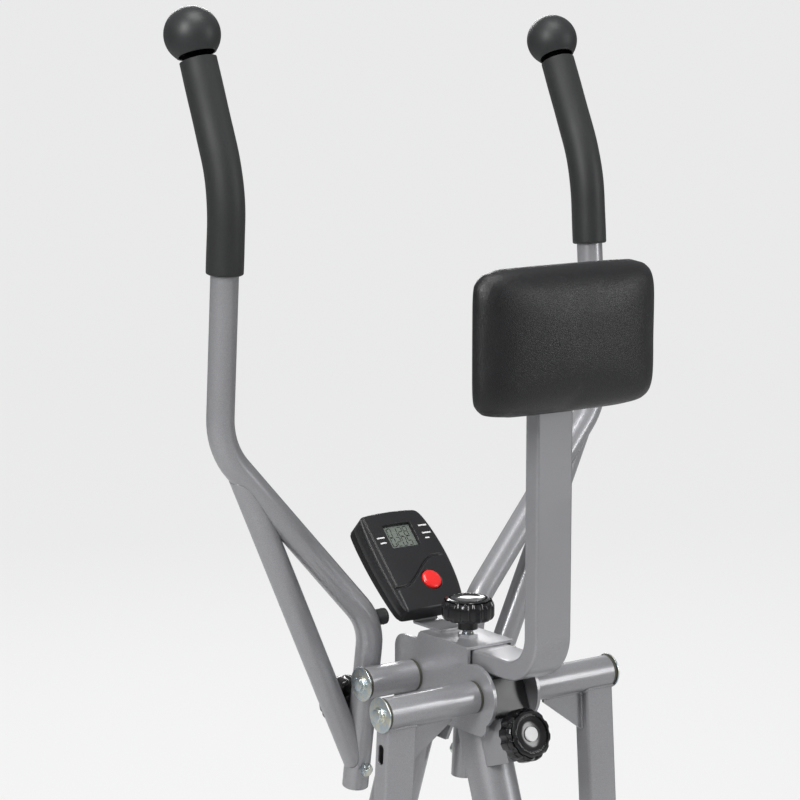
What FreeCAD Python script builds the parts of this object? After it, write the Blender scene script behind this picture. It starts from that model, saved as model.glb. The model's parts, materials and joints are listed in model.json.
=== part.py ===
import FreeCAD, Part
import math
import os
from FreeCAD import Vector as V

# Cross-walker trainer with swinging foot arms and handlebars, in millimetres.
# The user faces +Y, +X is the user's right and +Z is up.
# Everything is drawn about the foot axle, then moved to the floor frame at the end.

# ---- driving dimensions ----
FOOT_AXLE_HEIGHT = 852.0        # foot axle above the floor
FOOT_AXLE_Y = -83.3             # foot axle from the middle of the footprint
AXLE_SPACING = 105.5            # handle axle ahead of the foot axle, at the same height
REST_SWING = 4.35               # left arm and handle rest turned by this much, the right pair by as much the other way

PLATE_THICKNESS = 4.0           # head bracket sheet
HEAD_HALF_WIDTH = 30.0          # outside of the head's side plates
HEAD_TOP = 48.5                 # top of the head's top plate
LOBE_RADIUS = 33.0              # side plate round the foot axle
HEAD_FRONT = 139.0

POST_RADIUS = 25.0              # main posts
POST_WALL = 2.0
FRONT_LEAN = 20.0               # front post leans forward by this many degrees
REAR_LEAN = 20.0                # rear post leans back
FRONT_POST_Y = 124.6            # front post's axis at axle height
REAR_POST_Y = 42.0              # rear post's axis at axle height
PIVOT_Z = -8.0                  # fold pivot, on the rear post's axis
PIVOT_Y = REAR_POST_Y + PIVOT_Z * math.tan(math.radians(REAR_LEAN))
PIVOT_BOLT_RADIUS = 5.0

LOCK_ALONG = 54.0               # lock knob below the fold pivot
LOCK_SHEET = 2.5                # tongue and channel sheet
TONGUE_BEHIND = 51.2            # tongue's front face behind the post's axis
CHANNEL_BEHIND = TONGUE_BEHIND + LOCK_SHEET + 0.05      # inside of the channel's web

STABILIZER_RADIUS = 25.0
STABILIZER_HALF = 232.0
STABILIZER_HEIGHT = 30.0        # stabiliser axis above the floor
END_CAP_RADIUS = 27.0
END_CAP_END = 262.0

AXLE_RADIUS = 8.0
RUNNING_GAP = 0.05
SLEEVE_RADIUS = 16.5
SLEEVE_BORE = 12.0
FLANGE_THICKNESS = 3.0
WASHER_RADIUS = 18.0
WASHER_THICKNESS = 2.0
FOOT_SLEEVE_END = 142.5
HANDLE_SLEEVE_END = 92.0
SLEEVE_START = 33.6

ARM_INNER = 108.0               # foot arm tube, inner side
ARM_WIDTH = 36.0
ARM_DEPTH = 21.0
ARM_WALL = 1.8
ARM_BOTTOM = -745.0
SLOT_Z = -42.0                  # oblong hole in the arm's outer wall
SLOT_LENGTH = 21.0
SLOT_WIDTH = 9.0

PEDAL_LENGTH = 330.0
PEDAL_WIDTH = 138.0
PEDAL_HEIGHT = 30.0
PEDAL_INNER = 152.0
PEDAL_AHEAD = 25.0              # pedal's middle ahead of the arm
PEDAL_BEAM_HEIGHT = 15.0

HANDLE_PATH = [                 # right handlebar's corners, from its lower end up
    V(65, 153, -132), V(69, 131, 55), V(257, 138, 261), V(257, 138, 520), V(262.8, 188.7, 637.3),
]
HANDLE_BENDS = [70.0, 80.0, 150.0]
BRACE_LOW = V(67, 150.5, -104)
BRACE_HIGH = V(230, 138, 229)
CROSS_BOLT_Z = -107.0
TENSION_KNOB_Z = -49.0
BEND_CAP = V(66, 131.5, 60)     # plug on the lower bend
BEND_CAP_REACH = 14.0
HANDLE_RADIUS = 14.0
HANDLE_WALL = 1.8
GRIP_RADIUS = 18.6
GRIP_START = 435.0
BALL_RADIUS = 28.0
BALL_CENTRE = V(264.0, 199.0, 661.0)

KNOB_RADIUS = 27.5
KNOB_HEIGHT = 23.0
KNOB_HUB_RADIUS = 10.5
KNOB_HUB_HEIGHT = 10.0

SEAT_TUBE_WIDTH = 45.0          # L-shaped post of the back pad
SEAT_TUBE_DEPTH = 20.0
SEAT_TUBE_BOTTOM = 25.0
SEAT_TUBE_FRONT = 85.0
SEAT_TUBE_REAR = -90.0
SEAT_TUBE_TOP = 430.0
SEAT_BEND_INNER = 30.0
CLAMP_Y = 51.0

PAD_WIDTH = 228.0
PAD_HEIGHT = 150.0
PAD_BOTTOM = 302.0
PAD_THICKNESS = 36.0
PAD_PLATE = 3.0

CONSOLE_HALF = 38.5             # at its ends
CONSOLE_BULGE = 7.0             # its sides bow out by this much
CONSOLE_TILT = 44.8             # display face above the horizontal, in degrees
CONSOLE_TOP = V(0, 194.6, 156.2)
CONSOLE_FACE = 100.0            # length of the flat display face
CHIN_DOWN = 24.3                # face below its faint crease
CHIN_IN = 0.6
CONSOLE_DEPTH = 29.0
CONSOLE_TAPER = 8.0             # thinner at the bottom by this much
CONSOLE_SPLIT = 17.0            # front case depth, the rest is the back cover
CONSOLE_WALL = 2.2
BRACKET_HALF = 15.0             # console's bracket
BRACKET_SHEET = 2.5
BRACKET_TAB = (78.0, 124.0)     # its flat tab on the head's top
BUTTON_X = 11.8
BUTTON_DOWN = 90.7
BUTTON_RADIUS = 11.3
WINDOW_X = (-16.0, 14.0)
WINDOW_DOWN = (18.0, 45.0)

AXIS_X = V(1, 0, 0)
AXIS_Y = V(0, 1, 0)
AXIS_Z = V(0, 0, 1)
FOOT_AXLE = V(0, 0, 0)
HANDLE_AXLE = V(0, AXLE_SPACING, 0)
FLOOR = -FOOT_AXLE_HEIGHT
STABILIZER_Z = FLOOR + STABILIZER_HEIGHT
INNER_HALF = HEAD_HALF_WIDTH - PLATE_THICKNESS

parts = {}


# ---- small helpers ----
def cylinder(start, direction, radius, length):
    return Part.makeCylinder(radius, length, start, direction)


def ring(start, direction, outer, inner, length):
    return cylinder(start, direction, outer, length).cut(cylinder(start, direction, inner, length))


def block(x, y, z):
    """A box from three (low, high) pairs."""
    return Part.makeBox(x[1] - x[0], y[1] - y[0], z[1] - z[0], V(x[0], y[0], z[0]))


def rounded(shape, radius, along):
    """Rounds the straight edges that run along the given direction."""
    edges = [
        edge for edge in shape.Edges
        if len(edge.Vertexes) == 2
        and abs((edge.Vertexes[1].Point - edge.Vertexes[0].Point).normalize().dot(along)) > 0.999
    ]
    return shape.makeFillet(radius, edges)


def hexagon(start, direction, across_flats, length):
    corner = across_flats / math.sqrt(3)
    points = [V(corner * math.cos(i * math.pi / 3), corner * math.sin(i * math.pi / 3), 0) for i in range(7)]
    prism = Part.Face(Part.makePolygon(points)).extrude(V(0, 0, length))
    prism.Placement = FreeCAD.Placement(start, FreeCAD.Rotation(AXIS_Z, direction))
    return prism


def yz_plate(points, x_low, x_high):
    """A flat plate across X whose outline is a list of (y, z) corners."""
    loop = [V(x_low, y, z) for y, z in points]
    return Part.Face(Part.makePolygon(loop + [loop[0]])).extrude(V(x_high - x_low, 0, 0))


def bent_path(points, radii):
    """Straight runs joined by tangent arcs, one radius for each inner corner."""
    edges = []
    start = points[0]
    for before, corner, after, radius in zip(points, points[1:], points[2:], radii):
        toward = (before - corner).normalize()
        away = (after - corner).normalize()
        half_turn = (math.pi - toward.getAngle(away)) / 2
        reach = radius * math.tan(half_turn)
        arc_start = corner + toward * reach
        arc_end = corner + away * reach
        bisector = (toward + away).normalize()
        centre = corner + bisector * (radius / math.cos(half_turn))
        edges.append(Part.makeLine(start, arc_start))
        edges.append(Part.Arc(arc_start, centre - bisector * radius, arc_end).toShape())
        start = arc_end
    edges.append(Part.makeLine(start, points[-1]))
    return Part.Wire(edges)


def swept_rod(points, radii, radius):
    path = bent_path(points, radii)
    profile = Part.Wire(Part.makeCircle(radius, points[0], points[1] - points[0]))
    return path.makePipeShell([profile], True, False)


def mirrored(shape):
    return shape.mirror(V(0, 0, 0), AXIS_X)


def add_pair(name, shape, axle):
    """Right piece as drawn and its left mirror image, each turned to its rest angle about the axle."""
    right = shape.copy()
    left = mirrored(shape)
    right.rotate(axle, AXIS_X, -REST_SWING)
    left.rotate(axle, AXIS_X, REST_SWING)
    parts[name.replace("SIDE", "right")] = right
    parts[name.replace("SIDE", "left")] = left


def knob(stud_radius, stud_length, scallops, head_start=KNOB_HUB_HEIGHT):
    """Scalloped clamping knob on +Z: stud below the origin, hub and dished head above it."""
    head = cylinder(V(0, 0, head_start), AXIS_Z, KNOB_RADIUS, KNOB_HEIGHT)
    head = head.makeFillet(4.0, head.Edges)
    for i in range(scallops):
        angle = 2 * math.pi * i / scallops
        bite = V((KNOB_RADIUS + 3.2) * math.cos(angle), (KNOB_RADIUS + 3.2) * math.sin(angle), head_start - 1)
        head = head.cut(cylinder(bite, AXIS_Z, 4.8, KNOB_HEIGHT + 2))
    hub = cylinder(V(0, 0, 0), AXIS_Z, KNOB_HUB_RADIUS, head_start + 1)
    stud = cylinder(V(0, 0, -stud_length), AXIS_Z, stud_radius, stud_length + 1)
    return head.fuse([hub, stud]).removeSplitter()


def placed(shape, start, direction):
    shape.Placement = FreeCAD.Placement(start, FreeCAD.Rotation(AXIS_Z, direction))
    return shape


# ---- main frame ----
def lean_direction(degrees):
    """Downward direction of a post that leans by this angle, positive towards +Y."""
    angle = math.radians(degrees)
    return V(0, math.sin(angle), -math.cos(angle))


def post_point(axis_y, degrees, z):
    """Point at height z on a leaning post's axis."""
    return V(0, axis_y - z * math.tan(math.radians(degrees)), z)


def post(axis_y, degrees, top, radius):
    """Leaning round tube, cut level at its top and saddled onto its stabiliser."""
    start = post_point(axis_y, degrees, top + 40)
    end = post_point(axis_y, degrees, STABILIZER_Z)
    length = (end - start).Length
    direction = lean_direction(degrees)
    tube = ring(start, direction, radius, radius - POST_WALL, length)
    tube = tube.cut(block((-60, 60), (start.y - 80, start.y + 80), (top, top + 120)))
    return tube.cut(cylinder(V(-80, end.y, STABILIZER_Z), AXIS_X, STABILIZER_RADIUS, 160))


def stabilizer(y):
    tube = ring(V(-STABILIZER_HALF, y, STABILIZER_Z), AXIS_X, STABILIZER_RADIUS,
                STABILIZER_RADIUS - POST_WALL, 2 * STABILIZER_HALF)
    return tube


def end_caps(y):
    """Pair of end caps: a cup over the tube's end, with a flat foot on the floor."""
    cup_start = STABILIZER_HALF - 30
    cup = cylinder(V(cup_start, y, STABILIZER_Z), AXIS_X, END_CAP_RADIUS, END_CAP_END - cup_start)
    outer_rim = [edge for edge in cup.Edges if edge.BoundBox.XMin > END_CAP_END - 1]
    cup = cup.makeFillet(6.0, outer_rim)
    foot = block((cup_start + 6, END_CAP_END - 10), (y - 22, y + 22), (FLOOR, STABILIZER_Z))
    foot = rounded(foot, 5.0, AXIS_Z)
    socket = cylinder(V(cup_start - 1, y, STABILIZER_Z), AXIS_X, STABILIZER_RADIUS, 31)
    cap = cup.fuse(foot).removeSplitter().cut(socket)
    return Part.makeCompound([cap, mirrored(cap)])


def side_plate():
    """Head side plate: lobe round the foot axle, stepped top and a tongue down the front post."""
    tongue_shift = 45 * math.tan(math.radians(FRONT_LEAN))
    outline = [
        (0, -40), (100, -40), (108 + tongue_shift, -85), (152 + tongue_shift, -85),
        (HEAD_FRONT, -30), (HEAD_FRONT, 40), (100, 40), (96, HEAD_TOP - 1), (12, HEAD_TOP - 1), (12, 20), (0, 20),
    ]
    plate = yz_plate(outline, INNER_HALF, HEAD_HALF_WIDTH)
    lobe = cylinder(V(INNER_HALF, 0, 0), AXIS_X, LOBE_RADIUS, PLATE_THICKNESS)
    lobe_foot = block((INNER_HALF, HEAD_HALF_WIDTH), (-20, 10), (-40, 0))
    lobe_foot = rounded(lobe_foot, 12.0, AXIS_X)
    plate = plate.fuse([lobe, lobe_foot]).removeSplitter()
    front_top = [
        edge for edge in plate.Edges
        if edge.BoundBox.YMin > HEAD_FRONT - 1 and edge.BoundBox.ZMin > 38 and edge.BoundBox.YLength < 0.1
    ]
    return plate.makeFillet(16.0, front_top)


def head_bracket():
    plate = side_plate()
    top = block((-HEAD_HALF_WIDTH, HEAD_HALF_WIDTH), (12, 96), (HEAD_TOP - 3.2, HEAD_TOP))
    top = rounded(top, 3.0, AXIS_Z)
    shelf = block((-INNER_HALF, INNER_HALF), (14, 92), (SEAT_TUBE_BOTTOM - 3.1, SEAT_TUBE_BOTTOM - 0.1))
    nut = hexagon(V(0, CLAMP_Y, HEAD_TOP), AXIS_Z, 19, 3.0)
    bracket = plate.fuse([mirrored(plate), top, shelf, nut])
    holes = [
        cylinder(V(-40, 0, 0), AXIS_X, AXLE_RADIUS, 80),
        cylinder(V(-40, AXLE_SPACING, 0), AXIS_X, AXLE_RADIUS, 80),
        cylinder(V(-40, PIVOT_Y, PIVOT_Z), AXIS_X, PIVOT_BOLT_RADIUS, 80),
        cylinder(V(0, CLAMP_Y, HEAD_TOP - 5), AXIS_Z, 6.05, 12),
    ]
    return bracket.cut(holes).removeSplitter()


def axle(y, half_length):
    return cylinder(V(-half_length, y, 0), AXIS_X, AXLE_RADIUS, 2 * half_length)


def axle_fasteners():
    """A zinc washer and a hex bolt head on each end of both axles."""
    solids = []
    for y, end in ((0, FOOT_SLEEVE_END), (AXLE_SPACING, HANDLE_SLEEVE_END)):
        face = end + FLANGE_THICKNESS + 0.4
        washer = cylinder(V(face, y, 0), AXIS_X, WASHER_RADIUS, WASHER_THICKNESS)
        head = hexagon(V(face + WASHER_THICKNESS, y, 0), AXIS_X, 13, 5.3)
        for piece in (washer, head):
            solids += [piece, mirrored(piece)]
    return Part.makeCompound(solids)


def fold_pivot_bolt():
    """Bolt across the head that the rear post folds on, with its head, nut and two spacing collars."""
    shank = cylinder(V(-HEAD_HALF_WIDTH - 6, PIVOT_Y, PIVOT_Z), AXIS_X, PIVOT_BOLT_RADIUS, 2 * HEAD_HALF_WIDTH + 12)
    head = hexagon(V(HEAD_HALF_WIDTH, PIVOT_Y, PIVOT_Z), AXIS_X, 16, 1.6)
    collar = cylinder(V(POST_RADIUS + 0.15, PIVOT_Y, PIVOT_Z), AXIS_X, 9.0, INNER_HALF - POST_RADIUS - 0.15)
    shank = shank.common(block((-HEAD_HALF_WIDTH - 1.6, HEAD_HALF_WIDTH + 1.6), (0, 100), (-60, 60)))
    return shank.fuse([head, mirrored(head), collar, mirrored(collar)]).removeSplitter()


def post_frame(along, behind, x=0):
    """Point on the rear post's own axes: down from the pivot, and out behind the post."""
    angle = math.radians(REAR_LEAN)
    down = V(0, -math.sin(angle), -math.cos(angle))
    back = V(0, -math.cos(angle), math.sin(angle))
    return V(x, PIVOT_Y, PIVOT_Z) + down * along + back * behind


def post_frame_block(x, along, behind):
    """A box on the rear post's own axes."""
    corners = [post_frame(a, b, x[0]) for a, b in
               ((along[0], behind[0]), (along[1], behind[0]), (along[1], behind[1]), (along[0], behind[1]))]
    return Part.Face(Part.makePolygon(corners + [corners[0]])).extrude(V(x[1] - x[0], 0, 0))


def lock_channel():
    """U-shaped channel welded to the rear post, open towards it."""
    outer = post_frame_block((-17, 17), (33, 78), (18, CHANNEL_BEHIND + LOCK_SHEET))
    inner = post_frame_block((-14.5, 14.5), (30, 81), (10, CHANNEL_BEHIND))
    tube = cylinder(post_frame(0, 0), lean_direction(-REAR_LEAN), POST_RADIUS, 120)
    hole = cylinder(post_frame(LOCK_ALONG, 30), post_frame(0, 1) - post_frame(0, 0), 6.05, 40)
    return outer.cut([inner, tube, hole])


def lock_tongue():
    """Flat black plate clamped inside the channel, wide at its top."""
    depth = (TONGUE_BEHIND, TONGUE_BEHIND + LOCK_SHEET)
    low = post_frame_block((-14, 14), (20, 76), depth)
    high = post_frame_block((-24.5, 24.5), (-7, 30), depth)
    hole = cylinder(post_frame(LOCK_ALONG, 30), post_frame(0, 1) - post_frame(0, 0), 6.05, 60)
    return low.fuse(high).removeSplitter().cut(hole)


def make_frame():
    front_y = FRONT_POST_Y - STABILIZER_Z * math.tan(math.radians(FRONT_LEAN))
    rear_y = REAR_POST_Y + STABILIZER_Z * math.tan(math.radians(REAR_LEAN))
    front = post(FRONT_POST_Y, FRONT_LEAN, -14, INNER_HALF - 0.05)
    rear = post(REAR_POST_Y, -REAR_LEAN, 2, POST_RADIUS)
    rear = rear.cut(cylinder(V(-40, PIVOT_Y, PIVOT_Z), AXIS_X, PIVOT_BOLT_RADIUS + RUNNING_GAP, 80))
    parts["head_bracket"] = head_bracket()
    parts["front_post"] = front
    parts["front_stabilizer"] = stabilizer(front_y)
    parts["front_end_caps"] = end_caps(front_y)
    parts["rear_post"] = rear
    parts["rear_stabilizer"] = stabilizer(rear_y)
    parts["rear_end_caps"] = end_caps(rear_y)
    parts["foot_axle"] = axle(0, FOOT_SLEEVE_END + FLANGE_THICKNESS + 0.4)
    parts["handle_axle"] = axle(AXLE_SPACING, HANDLE_SLEEVE_END + FLANGE_THICKNESS + 0.4)
    parts["axle_fasteners"] = axle_fasteners()
    parts["fold_pivot_bolt"] = fold_pivot_bolt()
    parts["lock_channel"] = lock_channel()
    parts["lock_tongue"] = lock_tongue()
    lock = placed(knob(6.0, 14.0, 12, 3.0), post_frame(LOCK_ALONG, CHANNEL_BEHIND + LOCK_SHEET + 0.1),
                  post_frame(0, 1) - post_frame(0, 0))
    parts["lock_knob"] = lock


# ---- foot arms ----
def sleeve(y, end):
    return ring(V(SLEEVE_START, y, 0), AXIS_X, SLEEVE_RADIUS, SLEEVE_BORE, end - SLEEVE_START)


def bushes(y, end):
    """Flanged plastic bush in each end of a sleeve."""
    solids = []
    for face, direction in ((SLEEVE_START, -1), (end, 1)):
        flange = ring(V(face, y, 0), AXIS_X * direction, SLEEVE_RADIUS, AXLE_RADIUS + RUNNING_GAP, FLANGE_THICKNESS)
        body = ring(V(face, y, 0), AXIS_X * -direction, SLEEVE_BORE, AXLE_RADIUS + RUNNING_GAP, 18)
        solids.append(flange.fuse(body).removeSplitter())
    return Part.makeCompound(solids)


def foot_arm_tube():
    """Rectangular tube with an oblong hole in its outer wall, saddled under its sleeve."""
    outer = rounded(block((ARM_INNER, ARM_INNER + ARM_WIDTH), (-ARM_DEPTH / 2, ARM_DEPTH / 2), (ARM_BOTTOM, 0)),
                    3.0, AXIS_Z)
    inner = rounded(block((ARM_INNER + ARM_WALL, ARM_INNER + ARM_WIDTH - ARM_WALL),
                          (-ARM_DEPTH / 2 + ARM_WALL, ARM_DEPTH / 2 - ARM_WALL), (ARM_BOTTOM, 0)), 1.2, AXIS_Z)
    outer_wall = ARM_INNER + ARM_WIDTH - 5
    half_slot = SLOT_WIDTH / 2
    reach = SLOT_LENGTH / 2 - half_slot
    slot = block((outer_wall, outer_wall + 10), (-half_slot, half_slot), (SLOT_Z - reach, SLOT_Z + reach))
    ends = [cylinder(V(outer_wall, 0, SLOT_Z + side * reach), AXIS_X, half_slot, 10) for side in (-1, 1)]
    saddle = cylinder(V(90, 0, 0), AXIS_X, SLEEVE_RADIUS, 60)
    return outer.cut([inner, slot, saddle] + ends)


def gusset():
    """Triangular plate in the corner under the sleeve."""
    corners = [V(58, -1.5, -10), V(ARM_INNER, -1.5, -10), V(ARM_INNER, -1.5, -57), V(58, -1.5, -20)]
    plate = Part.Face(Part.makePolygon(corners + [corners[0]])).extrude(V(0, 3, 0))
    return plate.cut(cylinder(V(40, 0, 0), AXIS_X, SLEEVE_RADIUS, 80))


def pedal_beam():
    """Flat tube that carries the pedal outboard of the arm."""
    outer = block((ARM_INNER, 284), (-20, 20), (ARM_BOTTOM - PEDAL_BEAM_HEIGHT, ARM_BOTTOM))
    inner = block((ARM_INNER - 1, 285), (-18, 18), (ARM_BOTTOM - PEDAL_BEAM_HEIGHT + 2, ARM_BOTTOM - 2))
    return rounded(outer, 3.0, AXIS_X).cut(inner)


def pedal():
    """Foot platform: a shallow tray with a raised rim, taller at the toe."""
    x = (PEDAL_INNER, PEDAL_INNER + PEDAL_WIDTH)
    y = (PEDAL_AHEAD - PEDAL_LENGTH / 2, PEDAL_AHEAD + PEDAL_LENGTH / 2)
    z = (ARM_BOTTOM, ARM_BOTTOM + PEDAL_HEIGHT)
    rim = 5.0
    floor_thickness = 10.0
    outer = rounded(block(x, y, z), 28.0, AXIS_Z)
    hollow = rounded(block((x[0] + rim, x[1] - rim), (y[0] + rim, y[1] - rim),
                           (z[0] + floor_thickness, z[1] + 1)), 24.0, AXIS_Z)
    return outer.cut(hollow)


def make_foot_arms():
    add_pair("foot_arm_SIDE_tube", foot_arm_tube(), FOOT_AXLE)
    add_pair("foot_arm_SIDE_sleeve", sleeve(0, FOOT_SLEEVE_END), FOOT_AXLE)
    add_pair("foot_arm_SIDE_bushes", bushes(0, FOOT_SLEEVE_END), FOOT_AXLE)
    add_pair("foot_arm_SIDE_gusset", gusset(), FOOT_AXLE)
    add_pair("foot_arm_SIDE_pedal_beam", pedal_beam(), FOOT_AXLE)
    add_pair("foot_arm_SIDE_pedal", pedal(), FOOT_AXLE)


# ---- handlebars ----
def lower_point(z):
    """Point at height z on the handlebar's straight lower run."""
    low, high = HANDLE_PATH[0], HANDLE_PATH[1]
    return low + (high - low) * ((z - low.z) / (high.z - low.z))


def forward():
    """Horizontal-ish direction square to the handlebar's lower run, away from the user."""
    run = (HANDLE_PATH[1] - HANDLE_PATH[0]).normalize()
    return (AXIS_Y - run * AXIS_Y.dot(run)).normalize()


def handle_solid(radius):
    return swept_rod(HANDLE_PATH, HANDLE_BENDS, radius)


def handle_tube(outer):
    inner = handle_solid(HANDLE_RADIUS - HANDLE_WALL)
    bolt = cross_bolt_shank(4.1)
    axle_sleeve = cylinder(V(30, AXLE_SPACING, 0), AXIS_X, SLEEVE_RADIUS, 70)
    tension_hole = cylinder(lower_point(TENSION_KNOB_Z), forward(), 5.05, 30)
    return outer.cut([inner, bolt, axle_sleeve, tension_hole])


def cross_bolt_shank(radius):
    centre = lower_point(CROSS_BOLT_Z)
    return cylinder(centre - forward() * 22, forward(), radius, 44)


def cross_bolt():
    """Hex bolt and nut through the lower end of the handlebar."""
    centre = lower_point(CROSS_BOLT_Z)
    head = hexagon(centre + forward() * (HANDLE_RADIUS + 0.2), forward(), 13, 5.5)
    nut = hexagon(centre - forward() * (HANDLE_RADIUS + 0.2), forward() * -1, 13, 6.5)
    return cross_bolt_shank(4.0).fuse([head, nut]).removeSplitter()


def brace(tube):
    """Straight stay from the upper bend to the lower end, coped round the handlebar at both ends."""
    run = BRACE_HIGH - BRACE_LOW
    stay = ring(BRACE_LOW, run, HANDLE_RADIUS - 0.5, HANDLE_RADIUS - 2.3, run.Length)
    stay = stay.cut([tube, cross_bolt_head_room()])
    return max(stay.Solids, key=lambda solid: solid.Volume)


def cross_bolt_head_room():
    centre = lower_point(CROSS_BOLT_Z)
    return cylinder(centre - forward() * 30, forward(), 9.0, 60)


def grip(tube):
    """Foam sleeve over the top of the handlebar."""
    high = HANDLE_PATH[-1]
    foam = swept_rod([V(HANDLE_PATH[2].x, HANDLE_PATH[2].y, GRIP_START)] + HANDLE_PATH[3:], HANDLE_BENDS[2:],
                     GRIP_RADIUS)
    ball = Part.makeSphere(BALL_RADIUS + 0.3, BALL_CENTRE)
    foam = foam.cut([tube, ball])
    return max(foam.Solids, key=lambda solid: solid.Volume)


def ball(tube):
    """Round end cap, hollow from below where it fits over the tube."""
    return Part.makeSphere(BALL_RADIUS, BALL_CENTRE).cut(tube)


def bend_cap():
    """Domed plug on the inner side of the lower bend."""
    stem = cylinder(BEND_CAP, AXIS_X * -1, 8.5, BEND_CAP_REACH)
    dome = Part.makeSphere(9.5, BEND_CAP - AXIS_X * (BEND_CAP_REACH - 6.5))
    keep = block((BEND_CAP.x - 30, BEND_CAP.x - BEND_CAP_REACH + 3), (110, 150), (40, 80))
    return stem.fuse(dome.common(keep)).removeSplitter()


def make_handlebars():
    outer = handle_solid(HANDLE_RADIUS)
    tube = handle_tube(outer)
    add_pair("handlebar_SIDE_tube", tube, HANDLE_AXLE)
    add_pair("handlebar_SIDE_brace", brace(outer), HANDLE_AXLE)
    add_pair("handlebar_SIDE_sleeve", sleeve(AXLE_SPACING, HANDLE_SLEEVE_END), HANDLE_AXLE)
    add_pair("handlebar_SIDE_bushes", bushes(AXLE_SPACING, HANDLE_SLEEVE_END), HANDLE_AXLE)
    add_pair("handlebar_SIDE_grip", grip(outer), HANDLE_AXLE)
    add_pair("handlebar_SIDE_ball", ball(outer), HANDLE_AXLE)
    add_pair("handlebar_SIDE_cap", bend_cap().cut(outer), HANDLE_AXLE)
    add_pair("handlebar_SIDE_bolt", cross_bolt(), HANDLE_AXLE)
    tension = placed(knob(5.0, 16.0, 12), lower_point(TENSION_KNOB_Z) + forward() * (HANDLE_RADIUS + 0.3), forward())
    add_pair("tension_knob_SIDE", tension, HANDLE_AXLE)


# ---- back pad ----
def seat_band(inset, half_width):
    """L-shaped band in the YZ plane, drawn inset from the tube's faces, extruded across X."""
    rear = SEAT_TUBE_REAR + inset
    front = SEAT_TUBE_REAR + SEAT_TUBE_DEPTH - inset
    bottom = SEAT_TUBE_BOTTOM + inset
    top = SEAT_TUBE_BOTTOM + SEAT_TUBE_DEPTH - inset
    centre_y = SEAT_TUBE_REAR + SEAT_TUBE_DEPTH + SEAT_BEND_INNER
    centre_z = SEAT_TUBE_BOTTOM + SEAT_TUBE_DEPTH + SEAT_BEND_INNER
    diagonal = math.sqrt(0.5)
    outer_r = centre_z - bottom
    inner_r = centre_z - top
    x = -half_width
    outer_mid = V(x, centre_y - outer_r * diagonal, centre_z - outer_r * diagonal)
    inner_mid = V(x, centre_y - inner_r * diagonal, centre_z - inner_r * diagonal)
    edges = [
        Part.makeLine(V(x, SEAT_TUBE_FRONT, bottom), V(x, centre_y, bottom)),
        Part.Arc(V(x, centre_y, bottom), outer_mid, V(x, rear, centre_z)).toShape(),
        Part.makeLine(V(x, rear, centre_z), V(x, rear, SEAT_TUBE_TOP)),
        Part.makeLine(V(x, rear, SEAT_TUBE_TOP), V(x, front, SEAT_TUBE_TOP)),
        Part.makeLine(V(x, front, SEAT_TUBE_TOP), V(x, front, centre_z)),
        Part.Arc(V(x, front, centre_z), inner_mid, V(x, centre_y, top)).toShape(),
        Part.makeLine(V(x, centre_y, top), V(x, SEAT_TUBE_FRONT, top)),
        Part.makeLine(V(x, SEAT_TUBE_FRONT, top), V(x, SEAT_TUBE_FRONT, bottom)),
    ]
    return Part.Face(Part.Wire(edges)).extrude(V(2 * half_width, 0, 0))


def make_back_pad():
    outer = seat_band(0, SEAT_TUBE_WIDTH / 2)
    corner_edges = [edge for edge in outer.Edges if edge.BoundBox.XLength < 0.1 and edge.Length > 25]
    outer = outer.makeFillet(3.0, corner_edges)
    post_tube = outer.cut(seat_band(2.0, SEAT_TUBE_WIDTH / 2 - 2.0))
    plate = block((-85, 85), (SEAT_TUBE_REAR - PAD_PLATE, SEAT_TUBE_REAR), (PAD_BOTTOM + 18, PAD_BOTTOM + 128))
    plate = rounded(plate, 10.0, AXIS_Y)
    pad_back = SEAT_TUBE_REAR - PAD_PLATE
    cushion = block((-PAD_WIDTH / 2, PAD_WIDTH / 2), (pad_back - PAD_THICKNESS, pad_back),
                    (PAD_BOTTOM, PAD_BOTTOM + PAD_HEIGHT))
    cushion = rounded(cushion, 14.0, AXIS_Y)
    front_rim = [edge for edge in cushion.Edges if edge.BoundBox.YMax < pad_back - PAD_THICKNESS + 0.1]
    cushion = cushion.makeFillet(12.0, front_rim)
    parts["pad_post"] = post_tube
    parts["pad_plate"] = plate
    parts["back_pad"] = cushion
    clamp = placed(knob(6.0, HEAD_TOP + 8 - SEAT_TUBE_BOTTOM - SEAT_TUBE_DEPTH - 0.3, 12),
                   V(0, CLAMP_Y, HEAD_TOP + 8), AXIS_Z)
    parts["pad_clamp_knob"] = clamp


# ---- console ----
def console_point(down, inside, x=0):
    """Point on the console: down the face from its top edge, and in from the face."""
    angle = math.radians(CONSOLE_TILT)
    along = V(0, -math.cos(angle), -math.sin(angle))
    inward = V(0, math.sin(angle), -math.cos(angle))
    return CONSOLE_TOP + along * down + inward * inside + AXIS_X * x


def console_prism(half_width, skin, inside_low, inside_high):
    """Slice of the console's outer shape between two depths, shrunk by skin all round."""
    top = skin
    bottom = CONSOLE_FACE + CHIN_DOWN - skin
    crease = CONSOLE_FACE
    face_at_crease = max(inside_low, skin)
    face_at_chin = max(inside_low, CHIN_IN + skin * 1.1)
    taper = CONSOLE_TAPER if inside_high > CONSOLE_SPLIT else 0
    corners = [
        console_point(top, max(inside_low, skin), -half_width),
        console_point(crease, face_at_crease, -half_width),
        console_point(bottom, face_at_chin, -half_width),
        console_point(bottom, inside_high - taper, -half_width),
        console_point(top, inside_high, -half_width),
    ]
    if inside_low > CHIN_IN:
        del corners[1]
    return Part.Face(Part.makePolygon(corners + [corners[0]])).extrude(V(2 * half_width, 0, 0))


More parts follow.
